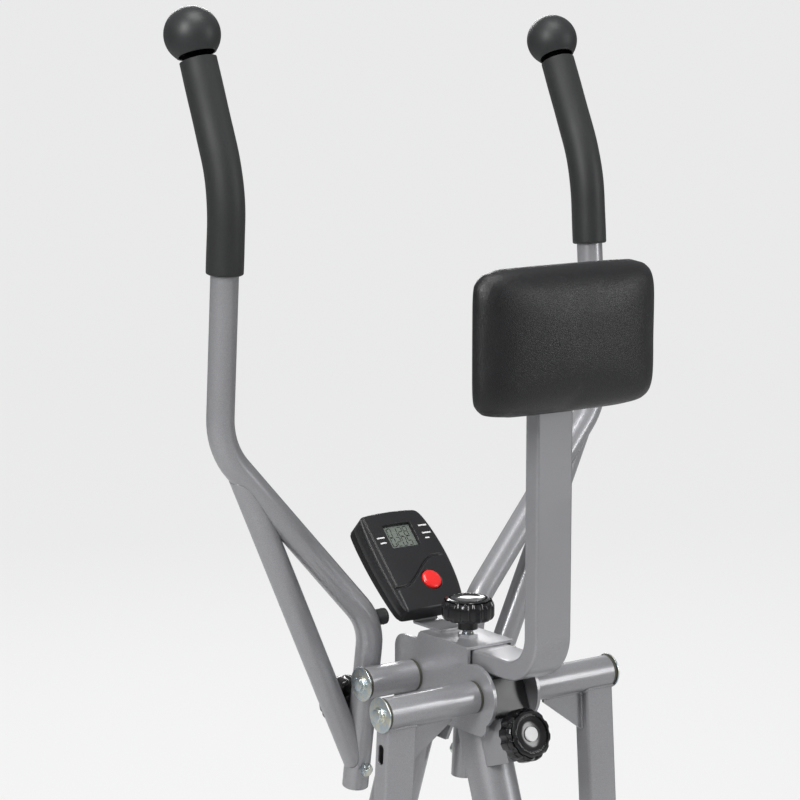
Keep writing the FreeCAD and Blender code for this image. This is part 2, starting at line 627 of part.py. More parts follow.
def console_outline(skin):
    """The bowed outline of the console, extruded through its depth."""
    length = CONSOLE_FACE + CHIN_DOWN
    half = CONSOLE_HALF - skin
    belly = half + CONSOLE_BULGE
    ends = (-1.0, length + 1.0)
    edges = []
    for side in (1, -1):
        edges.append(Part.Arc(console_point(ends[0], -1, side * half), console_point(length / 2, -1, side * belly),
                              console_point(ends[1], -1, side * half)).toShape())
    edges.insert(1, Part.makeLine(console_point(ends[1], -1, half), console_point(ends[1], -1, -half)))
    edges.append(Part.makeLine(console_point(ends[0], -1, -half), console_point(ends[0], -1, half)))
    return Part.Face(Part.Wire(edges)).extrude((console_point(0, 1) - console_point(0, 0)) * (CONSOLE_DEPTH + 2))


def console_box(x, down, inside):
    corners = [console_point(d, i, x[0]) for d, i in
               ((down[0], inside[0]), (down[1], inside[0]), (down[1], inside[1]), (down[0], inside[1]))]
    return Part.Face(Part.makePolygon(corners + [corners[0]])).extrude(V(x[1] - x[0], 0, 0))


def make_console():
    inward = console_point(0, 1) - console_point(0, 0)
    wide = CONSOLE_HALF + CONSOLE_BULGE + 1
    shell = console_prism(wide, 0, 0, CONSOLE_SPLIT).common(console_outline(0))
    hollow = console_prism(wide, CONSOLE_WALL, 0, CONSOLE_SPLIT).common(console_outline(CONSOLE_WALL))
    window = console_box(WINDOW_X, WINDOW_DOWN, (-1, 4))
    button_hole = cylinder(console_point(BUTTON_DOWN, -3, BUTTON_X), inward, BUTTON_RADIUS + 0.3, 12)
    parts["console_case"] = shell.cut([hollow, window, button_hole])
    back = console_prism(wide, 0, CONSOLE_SPLIT + 0.05, CONSOLE_DEPTH).common(console_outline(0))
    back_hollow = console_prism(wide, CONSOLE_WALL, CONSOLE_SPLIT - 1,
                                CONSOLE_DEPTH - CONSOLE_WALL).common(console_outline(CONSOLE_WALL))
    parts["console_back"] = back.cut(back_hollow)
    parts["console_display"] = console_box(WINDOW_X, WINDOW_DOWN, (0.8, 2.25)).fuse(
        console_box((WINDOW_X[0] - 2, WINDOW_X[1] + 2), (WINDOW_DOWN[0] - 1.5, WINDOW_DOWN[1] + 1.5),
                    (2.25, 5))).removeSplitter()
    parts["console_board"] = console_box((-31, 31), (6, 92), (10.5, 12.1))
    button = cylinder(console_point(BUTTON_DOWN, -2.6, BUTTON_X), inward, BUTTON_RADIUS, 10)
    top_rim = [edge for edge in button.Edges
               if edge.BoundBox.Center.sub(console_point(BUTTON_DOWN, -2.6, BUTTON_X)).Length < 1]
    parts["console_button"] = button.makeFillet(1.6, top_rim)
    parts["console_bracket"] = console_bracket()


def console_bracket():
    """Bent strip: a tab flat on the head's top, then up along the console's back."""
    slope = CONSOLE_TAPER / (CONSOLE_FACE + CHIN_DOWN)
    back_low, back_high = [console_point(down, CONSOLE_DEPTH - slope * down + 0.1)
                           for down in (CONSOLE_FACE + 12, 50)]
    under = (console_point(0, 1) - console_point(0, 0)) * BRACKET_SHEET
    tab_low = HEAD_TOP + 0.05
    outline = [
        (BRACKET_TAB[0], tab_low), (BRACKET_TAB[1] + 2, tab_low),
        (back_low.y + under.y, back_low.z + under.z), (back_high.y + under.y, back_high.z + under.z),
        (back_high.y, back_high.z), (back_low.y, back_low.z),
        (BRACKET_TAB[1], tab_low + BRACKET_SHEET), (BRACKET_TAB[0], tab_low + BRACKET_SHEET),
    ]
    return yz_plate(outline, -BRACKET_HALF, BRACKET_HALF)


def main():
    make_frame()
    make_foot_arms()
    make_handlebars()
    make_back_pad()
    make_console()
    os.makedirs("parts", exist_ok=True)
    place = V(0, FOOT_AXLE_Y, FOOT_AXLE_HEIGHT)
    for name, shape in parts.items():
        moved = shape.copy()
        moved.translate(place)
        moved.exportStep("parts/" + name + ".step")
        box = moved.BoundBox
        print(f"{name:32s} solids {len(moved.Solids)} volume {moved.Volume / 1000:9.1f} cm3 valid {moved.isValid()} "
              f"x {box.XMin:.1f}..{box.XMax:.1f} y {box.YMin:.1f}..{box.YMax:.1f} z {box.ZMin:.1f}..{box.ZMax:.1f}")


main()
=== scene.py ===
import bpy
import bmesh
import json
import math
import mathutils
import numpy as np
import re
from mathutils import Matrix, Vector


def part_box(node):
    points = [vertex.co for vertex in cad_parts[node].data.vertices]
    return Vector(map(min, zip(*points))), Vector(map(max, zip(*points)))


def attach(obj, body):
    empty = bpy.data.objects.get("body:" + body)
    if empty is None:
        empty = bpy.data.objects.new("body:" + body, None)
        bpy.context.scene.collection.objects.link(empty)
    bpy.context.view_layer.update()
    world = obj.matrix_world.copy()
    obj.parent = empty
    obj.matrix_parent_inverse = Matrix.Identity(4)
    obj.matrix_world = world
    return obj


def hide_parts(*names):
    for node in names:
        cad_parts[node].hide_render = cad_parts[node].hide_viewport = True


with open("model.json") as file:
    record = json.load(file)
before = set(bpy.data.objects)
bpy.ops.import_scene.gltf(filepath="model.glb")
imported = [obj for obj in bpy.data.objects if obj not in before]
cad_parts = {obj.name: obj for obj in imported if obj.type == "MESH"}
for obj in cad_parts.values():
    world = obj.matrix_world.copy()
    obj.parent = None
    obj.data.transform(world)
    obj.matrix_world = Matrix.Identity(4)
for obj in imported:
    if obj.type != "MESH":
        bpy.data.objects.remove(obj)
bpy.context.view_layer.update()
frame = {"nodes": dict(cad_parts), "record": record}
print("frame loaded:", len(frame["nodes"]), "nodes")

slotOf = {part["node"]: part["material_slot"] for part in frame["record"]["subparts"]}
mm = 0.001


def midOf(node):
    low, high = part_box(node)
    return (np.array(low) + np.array(high)) / 2


# the machine's own directions: the user faces +Y, both axles run along X
rest = dict(swing=math.radians(4.35), rearLean=math.radians(20), consoleTilt=math.radians(44.8))
footAxle = midOf("foot_axle")
handleAxle = midOf("handle_axle")
sides = {"left": -1, "right": 1}


# finishes
def newGroup(name, inputs, outputs):
    tree = bpy.data.node_groups.new(name, "ShaderNodeTree")
    for label, kind, value in inputs:
        socket = tree.interface.new_socket(label, in_out="INPUT", socket_type=kind)
        if value is not None:
            socket.default_value = value
    for label, kind in outputs:
        tree.interface.new_socket(label, in_out="OUTPUT", socket_type=kind)
    return tree, tree.nodes.new("NodeGroupInput").outputs, tree.nodes.new("NodeGroupOutput").inputs


def node(tree, kind, settings=None, **sockets):
    # Adds a node; sockets are values, or output sockets to join to.
    made = tree.nodes.new("ShaderNode" + kind)
    for key, value in (settings or {}).items():
        setattr(made, key, value)
    for key, value in sockets.items():
        at = int(key[1:]) if key[1:].isdigit() else re.sub("([A-Z])", r" \1", key).title()
        if isinstance(value, bpy.types.NodeSocket):
            tree.links.new(value, made.inputs[at])
        else:
            made.inputs[at].default_value = value
    return made


def sums(tree, operation, a, b, clamp=False):
    return node(tree, "Math", dict(operation=operation, use_clamp=clamp), s0=a, s1=b).outputs[0]


# soft edge: the Bevel node's normal, and where it differs from the true one, the edge mask that lightens edges partly
# as wear and partly as a painted highlight
def makeSoftEdge():
    tree, given, out = newGroup("softEdge", [("Radius", "NodeSocketFloat", 0.001), ("Reach", "NodeSocketFloat", 0.08)],
                                [("Normal", "NodeSocketVector"), ("WearAndHighlight", "NodeSocketFloat")])
    bevel = node(tree, "Bevel", dict(samples=4), radius=given["Radius"])
    true = node(tree, "NewGeometry")
    same = node(tree, "VectorMath", dict(operation="DOT_PRODUCT"), s0=bevel.outputs[0], s1=true.outputs["Normal"])
    away = sums(tree, "SUBTRACT", 1.0, same.outputs["Value"])
    # edge mask: lightens the colour at edges, partly as wear and partly as a painted highlight
    edgeWearAndHighlight = node(tree, "MapRange", dict(clamp=True), value=away, fromMin=0.004, fromMax=given["Reach"])
    tree.links.new(bevel.outputs[0], out["Normal"])
    tree.links.new(edgeWearAndHighlight.outputs[0], out["WearAndHighlight"])
    return tree


# grain groups share the same sockets: Vector, Size and Contrast in, Height, Tone and Smudge out
grainSockets = ([("Vector", "NodeSocketVector", None), ("Size", "NodeSocketFloat", 1.0),
                 ("Contrast", "NodeSocketFloat", 0.5)],
                [("Height", "NodeSocketFloat"), ("Tone", "NodeSocketFloat"), ("Smudge", "NodeSocketFloat")])


def smudgeOf(tree, vector):
    # Slow cloudy mask, a few hand widths across.
    cloud = node(tree, "TexNoise", vector=vector, scale=7.0, detail=4.0, roughness=0.6)
    return node(tree, "MapRange", dict(clamp=True), value=cloud.outputs[0], fromMin=0.35, fromMax=0.7).outputs[0]


def grainOut(tree, given, out, height, tone):
    # Joins the three outputs that every grain group has.
    tree.links.new(height, out["Height"])
    tree.links.new(sums(tree, "MULTIPLY", tone, given["Contrast"]), out["Tone"])
    tree.links.new(smudgeOf(tree, given["Vector"]), out["Smudge"])
    return tree


# paint: orange peel is slow noise, flake is fine noise; tone is the flake
def makePaintSkin():
    tree, given, out = newGroup("paintSkin", *grainSockets)
    peel = node(tree, "TexNoise", vector=given["Vector"], scale=given["Size"], detail=2.0, roughness=0.45)
    fine = sums(tree, "MULTIPLY", given["Size"], 5.0)
    flake = node(tree, "TexNoise", vector=given["Vector"], scale=fine, detail=1.0)
    tone = node(tree, "MapRange", dict(clamp=True), value=flake.outputs[0], fromMin=0.3, fromMax=0.7)
    return grainOut(tree, given, out, peel.outputs[0], tone.outputs[0])


# spark-eroded plastic: two octaves of noise, the height sharpened by a power
def makeSparkGrain():
    tree, given, out = newGroup("sparkGrain", *grainSockets)
    pits = node(tree, "TexNoise", vector=given["Vector"], scale=given["Size"], detail=5.0, roughness=0.7)
    sharp = sums(tree, "POWER", pits.outputs[0], 1.6)
    return grainOut(tree, given, out, sharp, pits.outputs[0])


# vinyl: pebbles are the distance to the nearest cell edge, with the cells pushed about by noise
def makeVinylGrain():
    tree, given, out = newGroup("vinylGrain", *grainSockets)
    push = node(tree, "TexNoise", vector=given["Vector"], scale=180.0, detail=2.0)
    moved = node(tree, "VectorMath", dict(operation="MULTIPLY_ADD"), s0=push.outputs[1], s1=(0.002, 0.002, 0.002),
                 s2=given["Vector"])
    cells = node(tree, "TexVoronoi", dict(feature="DISTANCE_TO_EDGE"), vector=moved.outputs[0], scale=given["Size"])
    pebble = node(tree, "MapRange", dict(clamp=True, interpolation_type="SMOOTHSTEP"), value=cells.outputs[0],
                  fromMin=0.0, fromMax=0.22)
    creases = node(tree, "TexNoise", vector=given["Vector"], scale=45.0, detail=3.0)
    height = sums(tree, "ADD", pebble.outputs[0], sums(tree, "MULTIPLY", creases.outputs[0], 0.8))
    return grainOut(tree, given, out, height, pebble.outputs[0])


# foam: closed cells as soft dots, broken up by noise
def makeFoamGrain():
    tree, given, out = newGroup("foamGrain", *grainSockets)
    cells = node(tree, "TexVoronoi", dict(feature="SMOOTH_F1"), vector=given["Vector"], scale=given["Size"])
    dots = node(tree, "TexNoise", vector=given["Vector"], scale=sums(tree, "MULTIPLY", given["Size"], 0.6), detail=4.0)
    height = sums(tree, "ADD", cells.outputs[0], sums(tree, "MULTIPLY", dots.outputs[0], 0.7))
    return grainOut(tree, given, out, height, dots.outputs[0])


# zinc plate: fine brushed noise, tone drifts from bluish to yellowish over a few millimetres
def makeZincSpangle():
    tree, given, out = newGroup("zincSpangle", *grainSockets)
    film = node(tree, "TexNoise", vector=given["Vector"], scale=given["Size"], detail=3.0)
    scuff = node(tree, "TexNoise", vector=given["Vector"], scale=sums(tree, "MULTIPLY", given["Size"], 7.0), detail=2.0)
    tone = node(tree, "MapRange", dict(clamp=True), value=film.outputs[0], fromMin=0.38, fromMax=0.64)
    return grainOut(tree, given, out, scuff.outputs[0], tone.outputs[0])


groups = dict(softEdge=makeSoftEdge(), paint=makePaintSkin(), spark=makeSparkGrain(), vinyl=makeVinylGrain(),
              foam=makeFoamGrain(), zinc=makeZincSpangle())

# plain is what a finish has where it says nothing else
plain = dict(metallic=0.0, coat=0.0, coatRough=0.1, sheen=0.0)

# colours are (low tone, high tone, lighter edge: partly wear, partly a painted highlight); rough is (clean, smudged);
# bump is (strength, distance in mm)
finishes = dict(
    silverPaint=dict(slot="silver_paint", grain="paint", size=330, contrast=1.0, rough=(0.30, 0.42), bump=(0.10, 0.25),
                     colours=((0.30, 0.30, 0.315), (0.40, 0.40, 0.415), (0.47, 0.47, 0.48)), edge=0.9, wearAndHighlightAmount=0.35,
                     metallic=0.45, coat=0.5, coatRough=0.10),
    blackPaint=dict(slot="black_paint", grain="paint", size=420, contrast=0.5, rough=(0.30, 0.5), bump=(0.2, 0.3),
                    colours=((0.012, 0.012, 0.014), (0.03, 0.03, 0.032), (0.16, 0.16, 0.16)), edge=0.7, wearAndHighlightAmount=0.5,
                    coat=0.3, coatRough=0.2),
    zincPlate=dict(slot="zinc", grain="zinc", size=160, contrast=1.0, rough=(0.20, 0.34), bump=(0.12, 0.1),
                   colours=((0.55, 0.64, 0.70), (0.74, 0.73, 0.62), (0.85, 0.86, 0.86)), edge=0.35, wearAndHighlightAmount=0.5,
                   metallic=1.0),
    capPlastic=dict(slot="end_cap_plastic", grain="spark", size=900, contrast=0.9, rough=(0.5, 0.66), bump=(0.3, 0.2),
                    colours=((0.012, 0.012, 0.013), (0.035, 0.035, 0.037), (0.07, 0.07, 0.07)), edge=1.2, wearAndHighlightAmount=0.3),
    bushNylon=dict(slot="bush_plastic", grain="spark", size=700, contrast=0.9, rough=(0.42, 0.6), bump=(0.2, 0.15),
                   colours=((0.05, 0.05, 0.038), (0.09, 0.088, 0.066), (0.15, 0.15, 0.12)), edge=0.4, wearAndHighlightAmount=0.3),
    consoleShell=dict(slot="console_plastic", grain="spark", size=1300, contrast=0.7, rough=(0.36, 0.46),
                      bump=(0.22, 0.12), colours=((0.008, 0.008, 0.009), (0.014, 0.014, 0.016), (0.04, 0.04, 0.043)),
                      edge=0.8, wearAndHighlightAmount=0.25),
    boardGreen=dict(slot="circuit_board", grain="spark", size=260, contrast=1.0, rough=(0.3, 0.5), bump=(0.3, 0.2),
                    colours=((0.01, 0.07, 0.03), (0.03, 0.16, 0.07), (0.10, 0.2, 0.1)), edge=0.3, wearAndHighlightAmount=0.2),
    buttonRed=dict(slot="red_plastic", grain="spark", size=500, contrast=0.6, rough=(0.20, 0.30), bump=(0.06, 0.1),
                   colours=((0.78, 0.015, 0.014), (0.90, 0.03, 0.026), (0.95, 0.09, 0.07)), edge=0.4, wearAndHighlightAmount=0.2,
                   coat=0.4, coatRough=0.08),
    knobGloss=dict(slot="knob_plastic", grain="spark", size=240, contrast=0.5, rough=(0.13, 0.24), bump=(0.05, 0.2),
                   colours=((0.006, 0.006, 0.007), (0.016, 0.016, 0.017), (0.05, 0.05, 0.05)), edge=0.8, wearAndHighlightAmount=0.25,
                   coat=0.2, coatRough=0.08),
    padVinyl=dict(slot="black_vinyl", grain="vinyl", size=620, contrast=0.8, rough=(0.34, 0.46), bump=(0.34, 0.25),
                  colours=((0.005, 0.005, 0.006), (0.009, 0.009, 0.010), (0.018, 0.018, 0.018)), edge=1.5, wearAndHighlightAmount=0.1,
                  coatRough=0.3, sheen=0.02),
    pedalPlastic=dict(slot="pedal_plastic", grain="spark", size=800, contrast=0.8, rough=(0.48, 0.7), bump=(0.3, 0.25),
                      colours=((0.014, 0.014, 0.015), (0.04, 0.04, 0.042), (0.09, 0.09, 0.09)), edge=1.2, wearAndHighlightAmount=0.4),
    gripFoam=dict(slot="grip_foam", grain="foam", size=900, contrast=0.9, rough=(0.50, 0.66), bump=(0.25, 0.25),
                  colours=((0.010, 0.011, 0.011), (0.021, 0.022, 0.022), (0.035, 0.035, 0.035)), edge=1.2, wearAndHighlightAmount=0.2,
                  coatRough=0.3, sheen=0.05),
    ballPlastic=dict(slot="ball_plastic", grain="spark", size=800, contrast=0.8, rough=(0.44, 0.56), bump=(0.18, 0.2),
                     colours=((0.014, 0.015, 0.015), (0.030, 0.032, 0.033), (0.08, 0.08, 0.08)), edge=0.6, wearAndHighlightAmount=0.3),
    markWhite=dict(slot="console_plastic", grain="spark", size=900, contrast=0.8, rough=(0.4, 0.5), bump=(0.05, 0.05),
                   colours=((0.72, 0.72, 0.72), (0.86, 0.86, 0.86), (0.9, 0.9, 0.9)), edge=0.1, wearAndHighlightAmount=0.1),
    lcdGlass=dict(slot="display_panel", grain="spark", size=1500, contrast=0.6, rough=(0.10, 0.2), bump=(0.02, 0.05),
                  colours=((0.15, 0.17, 0.15), (0.20, 0.225, 0.20), (0.26, 0.28, 0.26)), edge=0.2, wearAndHighlightAmount=0.1,
                  coat=0.25, coatRough=0.06),
    lcdInk=dict(slot="display_panel", grain="spark", size=1500, contrast=0.6, rough=(0.3, 0.4), bump=(0.02, 0.05),
                colours=((0.012, 0.014, 0.013), (0.02, 0.022, 0.02), (0.02, 0.02, 0.02)), edge=0.1, wearAndHighlightAmount=0.1),
)


def makeFinish(name, spec):
    spec = {**plain, **spec}
    made = bpy.data.materials.new(name)
    made.use_nodes = True
    tree = made.node_tree
    shader = tree.nodes["Principled BSDF"]
    place = node(tree, "TexCoord").outputs["Object"]
    grain = tree.nodes.new("ShaderNodeGroup")
    grain.node_tree = groups[spec["grain"]]
    grain.inputs["Size"].default_value = spec["size"]
    grain.inputs["Contrast"].default_value = spec["contrast"]
    tree.links.new(place, grain.inputs["Vector"])
    edge = tree.nodes.new("ShaderNodeGroup")
    edge.node_tree = groups["softEdge"]
    edge.inputs["Radius"].default_value = spec["edge"] * mm
    low, high, edgeWearAndHighlight = [(*colour, 1.0) for colour in spec["colours"]]
    body = node(tree, "Mix", dict(data_type="RGBA"), s0=grain.outputs["Tone"], s6=low, s7=high)
    # lighter edges: partly wear, partly a painted highlight mixed into the base colour
    wearAndHighlightMix = sums(tree, "MULTIPLY", edge.outputs["WearAndHighlight"], spec["wearAndHighlightAmount"])
    colour = node(tree, "Mix", dict(data_type="RGBA"), s0=wearAndHighlightMix, s6=body.outputs[2], s7=edgeWearAndHighlight)
    tree.links.new(colour.outputs[2], shader.inputs["Base Color"])
    rough = node(tree, "MapRange", value=grain.outputs["Smudge"], toMin=spec["rough"][0], toMax=spec["rough"][1])
    tree.links.new(rough.outputs[0], shader.inputs["Roughness"])
    bump = node(tree, "Bump", strength=spec["bump"][0], distance=spec["bump"][1] * mm,
                height=grain.outputs["Height"], normal=edge.outputs["Normal"])
    tree.links.new(bump.outputs[0], shader.inputs["Normal"])
    shader.inputs["Metallic"].default_value = spec["metallic"]
    shader.inputs["Coat Weight"].default_value = spec["coat"]
    shader.inputs["Coat Roughness"].default_value = spec["coatRough"]
    shader.inputs["Sheen Weight"].default_value = spec["sheen"]
    made.diffuse_color = low
    return made


finish = {name: makeFinish(name, spec) for name, spec in finishes.items()}
bySlot = {}
for name, spec in finishes.items():
    bySlot.setdefault(spec["slot"], finish[name])
for name, thing in frame["nodes"].items():
    thing.data.materials.clear()
    thing.data.materials.append(bySlot[slotOf[name]])
print("finishes:", len(finish))


# surfaces
def unit(vector):
    vector = np.asarray(vector, float)
    return vector / np.linalg.norm(vector)


def squareTo(axis):
    # The axis and two unit directions square to it.
    axis = unit(axis)
    helper = np.array([1.0, 0, 0]) if abs(axis[0]) < 0.9 else np.array([0, 1.0, 0])
    first = unit(np.cross(helper, axis))
    return axis, first, np.cross(axis, first)


def softLine(points, cuts, steps=5):
    # Points with each corner replaced by a quadratic curve that leaves it cut before and joins it cut after.
    points = np.asarray(points, float)
    t = np.linspace(0, 1, steps + 1)[:, None]
    pieces = [points[:1]]
    for before, corner, after, cut in zip(points[:-2], points[1:-1], points[2:], cuts):
        if cut <= 0:
            pieces.append(corner[None])
            continue
        start = corner + unit(before - corner) * cut
        stop = corner + unit(after - corner) * cut
        pieces.append((1 - t) ** 2 * start + 2 * t * (1 - t) * corner + t ** 2 * stop)
    return np.concatenate(pieces + [points[-1:]])


def lengthsOf(line):
    return np.concatenate([[0], np.cumsum(np.linalg.norm(np.diff(line, axis=0), axis=1))])


def sampled(line, along, at):
    # Points of a line read off at other places along it.
    return np.stack([np.interp(at, along, line[:, k]) for k in range(line.shape[1])], -1)


def superellipse(angle, n):
    # Radius of |x|^n + |y|^n = 1 at an angle.
    return (np.abs(np.cos(angle)) ** n + np.abs(np.sin(angle)) ** n) ** (-1 / n)


def turned(profile, start, axis, count=72, shape=None):
    # Profile rows (radius, height) turned about an axis: start + axis*height + radius*(a cos + b sin).
    axis, first, second = squareTo(axis)
    angle = np.linspace(0, 2 * np.pi, count, endpoint=False)[None, :]
    radius = np.asarray(profile)[:, :1] * np.ones_like(angle)
    height = np.asarray(profile)[:, 1:2] * np.ones_like(angle)
    if shape:
        radius = shape(radius, height, angle)
    around = np.cos(angle)[..., None] * first + np.sin(angle)[..., None] * second
    return np.asarray(start) + height[..., None] * axis + radius[..., None] * around


def carried(path, radius, up=(1, 0, 0), count=16):
    # Circle carried along a path: path + radius*(side cos + over sin), side square to the path and to up.
    along = np.gradient(path, axis=0)
    along /= np.linalg.norm(along, axis=1, keepdims=True)
    side = np.cross(along, np.asarray(up, float))
    side /= np.linalg.norm(side, axis=1, keepdims=True)
    over = np.cross(side, along)
    angle = np.linspace(0, 2 * np.pi, count, endpoint=False)
    radius = np.broadcast_to(np.asarray(radius, float), (len(path),))
    rows = path[:, None] + radius[:, None, None] * (
        side[:, None] * np.cos(angle)[None, :, None] + over[:, None] * np.sin(angle)[None, :, None])
    cap = lambda p: np.repeat(p[None, None], count, axis=1)
    return np.concatenate([cap(path[0]), rows, cap(path[-1])])


def putPiece(name, sheets, body, material, crease=38):
    # Joins grids (rows, columns, xyz) with their wrap flags into one closed mesh that rides on a body.
    points, faces, first = [], [], 0
    for grid, wrap in sheets:
        rows, columns = grid.shape[:2]
        i, j = np.meshgrid(np.arange(rows - 1), np.arange(columns if wrap else columns - 1), indexing="ij")
        k = (j + 1) % columns
        quads = np.stack([i * columns + j, i * columns + k, (i + 1) * columns + k, (i + 1) * columns + j], -1)
        points.append(grid.reshape(-1, 3))
        faces.append(quads.reshape(-1, 4) + first)
        first += rows * columns
    mesh = bpy.data.meshes.new(name)
    mesh.from_pydata(np.concatenate(points).tolist(), [], np.concatenate(faces).tolist())
    work = bmesh.new()
    work.from_mesh(mesh)
    bmesh.ops.remove_doubles(work, verts=work.verts, dist=3e-6)
    bmesh.ops.recalc_face_normals(work, faces=work.faces)
    work.to_mesh(mesh)
    work.free()
    mesh.shade_smooth()
    mesh.set_sharp_from_angle(angle=math.radians(crease))
    mesh.materials.append(material)
    piece = bpy.data.objects.new(name, mesh)
    bpy.context.scene.collection.objects.link(piece)
    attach(piece, body)
    return piece


def swung(grid, side, axle):
    # x mirrored on the left, then y and z turned about the axle by the rest swing.
    moved = np.array(grid, float)
    moved[..., 0] *= side
    turn = -side * rest["swing"]
    y, z = moved[..., 1] - axle[1], moved[..., 2] - axle[2]
    moved[..., 1] = axle[1] + y * math.cos(turn) - z * math.sin(turn)
    moved[..., 2] = axle[2] + y * math.sin(turn) + z * math.cos(turn)
    return moved


def drawn(*points):
    # Millimetres about the foot axle to metres in the machine's frame.
    return np.array(points, float) * mm + footAxle


def reach(name, axis):
    # Highest point of a CAD node along an axis, and its middle across it.
    axis, first, second = squareTo(axis)
    mesh = frame["nodes"][name].data
    points = np.empty(len(mesh.vertices) * 3)
    mesh.vertices.foreach_get("co", points)
    points = points.reshape(-1, 3)
    across = [(points @ way).min() / 2 + (points @ way).max() / 2 for way in (first, second)]
    top = (points @ axis).max()
    return axis * top + first * across[0] + second * across[1]


# back pad
pad = dict(corner=8.0, crown=2.2, rise=2.7, voxel=4.5 * mm, pressure=4.0, cap=4 * mm, shrink=2.0 * mm, ironing=14)


def padStart():
    # outline is a superellipse |x/a|^n + |z/b|^n = 1; rows run from its middle to the rim, then back on the flat side
    low, high = (np.array(corner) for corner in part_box("back_pad"))
    half = (high - low) / 2 - pad["shrink"] * np.array([1, 0.2, 1])
    middle = (high + low) / 2
    angle = np.linspace(0, 2 * np.pi, 160, endpoint=False)[None, :]
    rim = superellipse(angle, pad["corner"])
    out = np.sin(np.linspace(0, np.pi / 2, 40))[:, None]
    dome = (1 - out ** (2 * pad["crown"])) ** (1 / pad["rise"])
    depth = high[1] - low[1] - 2 * mm
    front = np.stack([middle[0] + half[0] * out * rim * np.cos(angle),
                      high[1] - depth * dome * np.ones_like(angle),
                      middle[2] + half[2] * out * rim * np.sin(angle)], -1)
    back = front[::-1].copy()
    back[..., 1] = high[1]
    return np.concatenate([front, back]), high[1], low[1]


def makePad():
    grid, backY, frontY = padStart()
    piece = putPiece("padCushion", [(grid, True)], "pad_carriage", finish["padVinyl"], crease=180)
    bpy.context.view_layer.objects.active = piece
    remesh = piece.modifiers.new("even", "REMESH")
    remesh.mode, remesh.voxel_size = "VOXEL", pad["voxel"]
    bpy.ops.object.modifier_apply(modifier=remesh.name)
    count = len(piece.data.vertices)
    before = np.empty(count * 3)
    piece.data.vertices.foreach_get("co", before)
    before = before.reshape(-1, 3)
    held = piece.vertex_groups.new(name="board")
    held.add([int(i) for i in np.nonzero(before[:, 1] > backY - 2.5 * mm)[0]], 1.0, "REPLACE")
    cloth = piece.modifiers.new("swell", "CLOTH")
    settings = cloth.settings
    settings.quality, settings.mass = 6, 0.4
    settings.tension_stiffness = settings.compression_stiffness = 22
    settings.shear_stiffness, settings.bending_stiffness = 12, 1.2
    settings.use_pressure, settings.uniform_pressure_force = True, pad["pressure"]
    settings.effector_weights.gravity = 0
    settings.vertex_group_mass = held.name
    cloth.collision_settings.use_collision = False
    scene = bpy.context.scene
    for step in range(1, 21):
        scene.frame_set(step)
    shaped = piece.evaluated_get(bpy.context.evaluated_depsgraph_get()).to_mesh()
    after = np.empty(count * 3)
    shaped.vertices.foreach_get("co", after)
    after = after.reshape(-1, 3)
    move = after - before
    length = np.linalg.norm(move, axis=1, keepdims=True)
    move *= np.minimum(1, pad["cap"] / np.maximum(length, 1e-9))
    place = before + move
    place[:, 1] = np.clip(place[:, 1], frontY - 3 * mm, backY)
    piece.modifiers.remove(cloth)
    piece.data.vertices.foreach_set("co", place.ravel())
    piece.vertex_groups.clear()
    piece.data.shade_smooth()
    scene.frame_set(1)
    iron = piece.modifiers.new("iron", "SMOOTH")
    iron.factor, iron.iterations = 0.5, pad["ironing"]
    bpy.ops.object.modifier_apply(modifier=iron.name)
    soft = piece.modifiers.new("even", "SUBSURF")
    soft.levels = soft.render_levels = 1
    bpy.ops.object.modifier_apply(modifier=soft.name)
    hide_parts("back_pad")


makePad()
print("pad made")

# grips and ball ends
handle = dict(path=[(257, 138, 435), (257, 138, 520), (262.8, 188.7, 637.3), (264, 199, 661)], bend=38, radius=18.6,
              ballRadius=28.0, openBelow=19.5, wall=2.2, seat=17.0)


def gripSheet():
    # foam sleeve: a circle carried up the bent line; the radius falls off over the last 2 mm at its open end
    line = softLine(drawn(*handle["path"])[:3], [handle["bend"] * mm], steps=24)
    length = lengthsOf(line)
    even = np.concatenate([[0, 0.6, 1.4, 2.6], np.linspace(4, length[-1] / mm, 70)]) * mm
    line = sampled(line, length, even)
    lip = np.clip(even / (2 * mm), 0, 1)
    radius = handle["radius"] * mm - 1.6 * mm * (1 - np.sqrt(1 - (1 - lip) ** 2))
    radius = radius * (1 + 0.004 * np.sin(even / mm / 9.0))
    return carried(line, radius, up=(1, 0, 0), count=64)


def ballSheet():
    # sphere from its top down to the opening, round the lip, then up inside to a disc over the tube's end
    radius, wall = handle["ballRadius"], handle["wall"]
    low = math.acos(-handle["openBelow"] / radius)
    outer = np.stack([radius * np.sin(np.linspace(0, low, 48)), radius * np.cos(np.linspace(0, low, 48))], -1)
    lip = outer[-1] + np.array([[-0.3, -0.7], [-1.1, -0.9], [-wall + 0.2, -0.5]])
    angle = np.linspace(low, math.acos(-6 / (radius - wall)), 14)
    inner = np.stack([(radius - wall) * np.sin(angle), (radius - wall) * np.cos(angle)], -1)
    disc = np.array([[handle["seat"], -6.0], [0, -6.0]])
    profile = np.concatenate([outer, lip, inner[2:], disc]) * mm
    centre, below = drawn(handle["path"][3], handle["path"][2])
    return turned(profile, centre, centre - below, count=96)


for side, way in sides.items():
    sheet = swung(gripSheet(), way, handleAxle)
    piece = putPiece("grip_" + side, [(sheet, True)], "handlebar_" + side, finish["gripFoam"], crease=60)
    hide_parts(f"handlebar_{side}_grip")
    sheet = swung(ballSheet(), way, handleAxle)
    piece = putPiece("ballEnd_" + side, [(sheet, True)], "handlebar_" + side, finish["ballPlastic"],
                     crease=40)
    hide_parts(f"handlebar_{side}_ball")
print("grips and ball ends made")

# scalloped knobs
knobShape = dict(radius=27.5, height=23.0, hub=10.5, scallops=12, bite=5.2, biteOut=3.3, dish=17.0, dishDepth=1.8)


